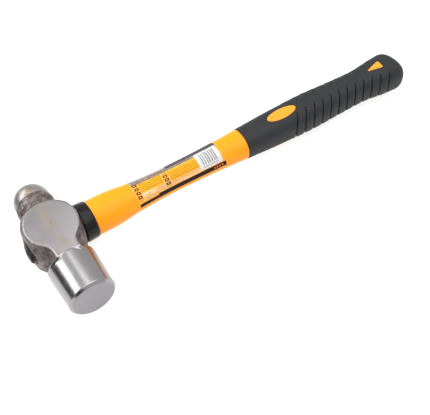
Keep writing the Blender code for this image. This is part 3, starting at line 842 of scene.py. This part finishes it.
def film_look():
    """Printed film: amber ground with plain panels, rows of fine lines, pale, silver and dark strips."""
    look = Look("printed_film")
    along, around = look.attribute("along"), look.attribute("around")
    place = look.position()

    def patch(x0, x1, a0, a1, soft_x=0.25, soft_a=0.8):
        return look.math("MULTIPLY", look.band(along, x0, x1, soft_x), look.band(around, a0, a1, soft_a))

    blotch = look.noise(place, 380.0, 3.0)
    color = look.mix(look.remap(blotch, 0.35, 0.7), (0.88, 0.33, 0.022), (0.86, 0.42, 0.085))
    pale = look.math("MULTIPLY", patch(78.0, 136.0, 127.0, 153.0, 1.0, 3.0),
                     look.remap(blotch, 0.3, 0.6, 0.55, 0.95))
    streak = look.remap(look.noise(look.position((45.0, 420.0, 420.0)), 1.0, 2.0), 0.52, 0.66)
    color = look.mix(pale, color, look.mix(streak, (0.76, 0.44, 0.18), (0.90, 0.72, 0.50)))
    color = look.mix(look.math("MULTIPLY", dashes(look, along, around, 4.2, 0.2, 0.9, 0.5),
                               patch(80.0, 134.0, 130.0, 152.0)), color, (0.40, 0.19, 0.06))
    panels = look.math("MAXIMUM", patch(79.0, 100.0, 86.0, 125.0), patch(106.5, 134.5, 93.0, 133.0))
    color = look.mix(panels, color, (0.92, 0.36, 0.006))
    lines = look.math("MULTIPLY", panels, dashes(look, along, around, 9.4, 0.12, 0.12, 0.36))
    color = look.mix(lines, color, (0.11, 0.036, 0.004))

    silver = patch(73.0, 157.0, 60.0, 85.0, 0.3, 1.5)
    color = look.mix(silver, color, look.mix(blotch, (0.15, 0.105, 0.065), (0.46, 0.41, 0.35)))
    fine_print = look.math("MULTIPLY", silver, dashes(look, along, around, 6.3, 0.3, 0.75, 0.44))
    color = look.mix(look.math("MULTIPLY", fine_print, 0.85), color, (0.05, 0.032, 0.022))
    color = look.mix(patch(73.0, 160.0, 2.0, 60.0, 0.3, 1.5), color, (0.36, 0.35, 0.345))
    color = look.mix(patch(108.0, 157.0, 40.0, 71.0, 0.3, 1.5), color, (0.045, 0.045, 0.052))

    for x0, x1, a0, a1 in ((73.8, 77.6, 82.0, 147.0), (101.2, 105.2, 91.0, 147.0)):
        phase = look.math("FRACT", look.math("DIVIDE", around, 16.0))
        marks = look.math("MULTIPLY", patch(x0, x1, a0, a1), look.band(phase, 0.14, 0.86, 0.05))
        hollow = look.math("MULTIPLY", look.band(phase, 0.36, 0.64, 0.05),
                           look.band(along, x0 + 1.2, x1 - 1.2, 0.2))
        marks = look.math("SUBTRACT", marks, hollow, clamp=True)
        color = look.mix(marks, color, (0.035, 0.016, 0.008))

    dark = look.math("MAXIMUM", patch(73.2, 94.0, 161.0, 176.5, 0.6, 1.2), patch(92.0, 159.0, 155.0, 177.0))
    color = look.mix(dark, color, look.mix(blotch, (0.006, 0.002, 0.001), (0.022, 0.008, 0.004)))
    phase = look.math("FRACT", look.math("DIVIDE", along, 2.6))
    tabs = look.math("MULTIPLY", patch(146.5, 155.5, 161.0, 171.0), look.band(phase, 0.2, 0.75, 0.05))
    color = look.mix(tabs, color, (0.60, 0.13, 0.015))
    look.set("Base Color", color)
    look.set("Roughness", look.remap(blotch, 0.3, 0.7, 0.30, 0.42))
    look.set("Specular IOR Level", 0.13)
    look.set("Normal", look.bump(look.noise(place, 240.0, 3.0), 0.2, 0.0004))
    return look.material


def sticker_look():
    """White coated paper with bars across the handle and a row of small dashes under them."""
    look = Look("sticker_paper")
    along, around = look.attribute("along"), look.attribute("around")
    fibre = look.noise(look.position(), 1400.0, 4.0)
    color = look.mix(fibre, (0.56, 0.56, 0.57), (0.63, 0.63, 0.63))
    column = look.node("ShaderNodeCombineXYZ")
    look.join(look.math("FLOOR", look.math("DIVIDE", along, 0.43)), column.inputs[0])
    chance = look.node("ShaderNodeTexWhiteNoise", noise_dimensions="3D")
    look.join(column.outputs[0], chance.inputs["Vector"])
    thin = look.math("MULTIPLY", look.math("GREATER_THAN", chance.outputs["Value"], 0.6), 0.45)
    wide = look.band(look.math("FRACT", look.math("DIVIDE", along, 2.15)), 0.28, 0.62, 0.03)
    bar = look.math("MAXIMUM", thin, wide)
    field = look.math("MULTIPLY", look.band(along, 136.8, 152.2, 0.1), look.band(around, 84.0, 134.0, 0.8))
    printed = look.math("MULTIPLY", look.math("MULTIPLY", bar, field), 0.85)
    color = look.mix(printed, color, (0.02, 0.02, 0.024))
    phase = look.math("FRACT", look.math("DIVIDE", along, 1.25))
    small = look.math("MULTIPLY", look.band(phase, 0.25, 0.7, 0.08), look.band(around, 138.5, 144.0, 0.6))
    small = look.math("MULTIPLY", small, look.band(along, 137.0, 152.0, 0.1))
    look.set("Base Color", look.mix(look.math("MULTIPLY", small, 0.8), color, (0.05, 0.05, 0.05)))
    look.set("Roughness", look.remap(fibre, 0.3, 0.7, 0.38, 0.5))
    look.set("Normal", look.bump(fibre, 0.1, 0.00005))
    return look.material


def floor_look():
    look = Look("pale_floor")
    grain = look.noise(look.position(), 40.0, 4.0)
    distance = look.node("ShaderNodeVectorMath", operation="LENGTH")
    look.join(look.position(), distance.inputs[0])
    near = look.remap(distance.outputs["Value"], 0.9, 0.35)
    pale = look.mix(grain, (0.46, 0.46, 0.46), (0.49, 0.49, 0.49))
    look.set("Base Color", look.mix(near, (0.42, 0.42, 0.42), pale))
    look.set("Roughness", look.remap(grain, 0.3, 0.7, 0.8, 0.9))
    look.set("Emission Color", (1.0, 1.0, 1.0, 1.0))
    look.set("Emission Strength", look.math("MULTIPLY", near, 0.46))
    return look.material


# ---------------------------------------------------------------- studio

def add_camera():
    az, el, roll = CAMERA_AZIMUTH, CAMERA_ELEVATION, CAMERA_ROLL
    right = Vector((math.cos(az), math.sin(az), 0.0))
    back = Vector((math.sin(az) * math.cos(el), -math.cos(az) * math.cos(el), math.sin(el)))
    up = back.cross(right)
    turned_right = math.cos(roll) * right + math.sin(roll) * up
    turned_up = math.cos(roll) * up - math.sin(roll) * right
    data = bpy.data.cameras.new("camera")
    data.sensor_width = 36.0
    data.sensor_fit = "HORIZONTAL"
    data.lens = CAMERA_LENS
    camera = bpy.data.objects.new("camera", data)
    rotation = Matrix((turned_right, turned_up, back)).transposed()
    location = AXES + (Vector(CAMERA_TARGET) + CAMERA_DISTANCE * back) * MM
    camera.matrix_world = Matrix.Translation(location) @ rotation.to_4x4()
    bpy.context.scene.collection.objects.link(camera)
    bpy.context.scene.camera = camera


def add_softbox(name, direction, distance, size, radiance):
    """White rectangular light that faces the head's middle from a direction."""
    data = bpy.data.lights.new(name, "AREA")
    data.shape = "RECTANGLE"
    data.size, data.size_y = size
    data.energy = radiance * math.pi * size[0] * size[1]
    light = bpy.data.objects.new(name, data)
    toward = Vector(direction).normalized()
    light.matrix_world = (Matrix.Translation(AXES + toward * distance)
                          @ toward.to_track_quat("Z", "Y").to_matrix().to_4x4())
    light.visible_camera = False
    bpy.context.scene.collection.objects.link(light)


def add_surroundings():
    """Studio walls: dark near the floor on the left, paler to the right and overhead."""
    world = bpy.data.worlds.new("studio")
    world.use_nodes = True
    tree = world.node_tree
    background = tree.nodes["Background"]
    place = tree.nodes.new("ShaderNodeTexCoord")
    level = tree.nodes.new("ShaderNodeVectorMath")
    level.operation = "DOT_PRODUCT"
    level.inputs[1].default_value = WORLD_RISE
    tree.links.new(place.outputs["Generated"], level.inputs[0])
    ramp = tree.nodes.new("ShaderNodeValToRGB")
    tree.links.new(level.outputs["Value"], ramp.inputs[0])
    while len(ramp.color_ramp.elements) < len(WORLD_STOPS):
        ramp.color_ramp.elements.new(0.5)
    for element, (position, brightness) in zip(ramp.color_ramp.elements, WORLD_STOPS):
        element.position = position
        element.color = (brightness, brightness, brightness, 1.0)
    tree.links.new(ramp.outputs[0], background.inputs["Color"])
    background.inputs["Strength"].default_value = 1.0
    bpy.context.scene.world = world


def add_floor():
    mesh = bpy.data.meshes.new("floor")
    corners = [(x * FLOOR_HALF, y * FLOOR_HALF, 0) for x, y in ((-1, -1), (1, -1), (1, 1), (-1, 1))]
    mesh.from_pydata(corners, [], [(0, 1, 2, 3)])
    mesh.materials.append(floor_look())
    floor = bpy.data.objects.new("floor", mesh)
    floor.location.z = CAD_BOX[0][2] - FLOOR_DROP
    bpy.context.scene.collection.objects.link(floor)


def add_dark_card():
    """Low dark card left of the head that only reflections show, for the dark line down the poll."""
    look = Look("dark_card")
    look.set("Base Color", (0.01, 0.009, 0.008))
    mesh = bpy.data.meshes.new("dark_card")
    foot = Vector(CARD_FROM) + CARD_DISTANCE * Vector(CARD_TOWARD)
    corners = [foot + Vector(CARD_ACROSS) * CARD_SIDES[i] + Vector((0.0, 0.0, CARD_HEIGHTS[j]))
               for i, j in ((0, 0), (1, 0), (1, 1), (0, 1))]
    mesh.from_pydata([tuple(corner * MM) for corner in corners], [], [(0, 1, 2, 3)])
    mesh.materials.append(look.material)
    card = bpy.data.objects.new("dark_card", mesh)
    card.location = AXES
    card.visible_camera = card.visible_diffuse = card.visible_shadow = False
    bpy.context.scene.collection.objects.link(card)


def add_studio():
    add_camera()
    add_surroundings()
    add_floor()
    for name, setting in SOFTBOXES.items():
        add_softbox(name, *setting)
    add_dark_card()
    bpy.context.scene.view_settings.view_transform = "Standard"
    bpy.context.scene.view_settings.exposure = EXPOSURE


def add_hammer():
    yellow = sheath_look("sheath_plastic", 0.285, 0.003)
    forged_head(steel_look())
    resin_fill(resin_look())
    collar_ring(collar_look())
    sheath_jacket(yellow)
    soft_grip(rubber_look())
    inlay = sheath_look("inlay_plastic", 0.303, 0.022)
    for name, shape in INLAYS.items():
        for side, place in ((1, "upper"), (-1, "lower")):
            inlay_pad(f"{name.replace('inlay', 'pad')}_{place}", shape, side, inlay)
    film_sheet("printed_film", "handle_label", "printed_film", film_look(), LABEL_X, LABEL_SLANT,
               LABEL_ANGLES, 0.06, 0.08, 0.10)
    film_sheet("bar_sticker", "barcode_label", "sticker_paper", sticker_look(), STICKER_X, 1.5,
               STICKER_ANGLES, 0.30, 0.10, 0.04)
    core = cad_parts["handle_core"]
    core.data.materials.clear()
    core.data.materials.append(fibreglass_look())


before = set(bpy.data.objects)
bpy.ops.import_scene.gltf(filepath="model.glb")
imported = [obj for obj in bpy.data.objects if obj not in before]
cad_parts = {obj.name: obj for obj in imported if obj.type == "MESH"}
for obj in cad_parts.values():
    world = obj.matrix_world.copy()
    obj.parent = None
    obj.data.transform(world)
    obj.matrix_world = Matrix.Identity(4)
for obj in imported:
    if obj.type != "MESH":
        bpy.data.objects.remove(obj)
CAD_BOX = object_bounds()
HEAD_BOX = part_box("hammer_head")
AXES = Vector(((HEAD_BOX[0].x + HEAD_BOX[1].x) / 2, HEAD_BOX[0].y - FACE_Y * MM,
               (HEAD_BOX[0].z + HEAD_BOX[1].z) / 2))
add_studio()
add_hammer()
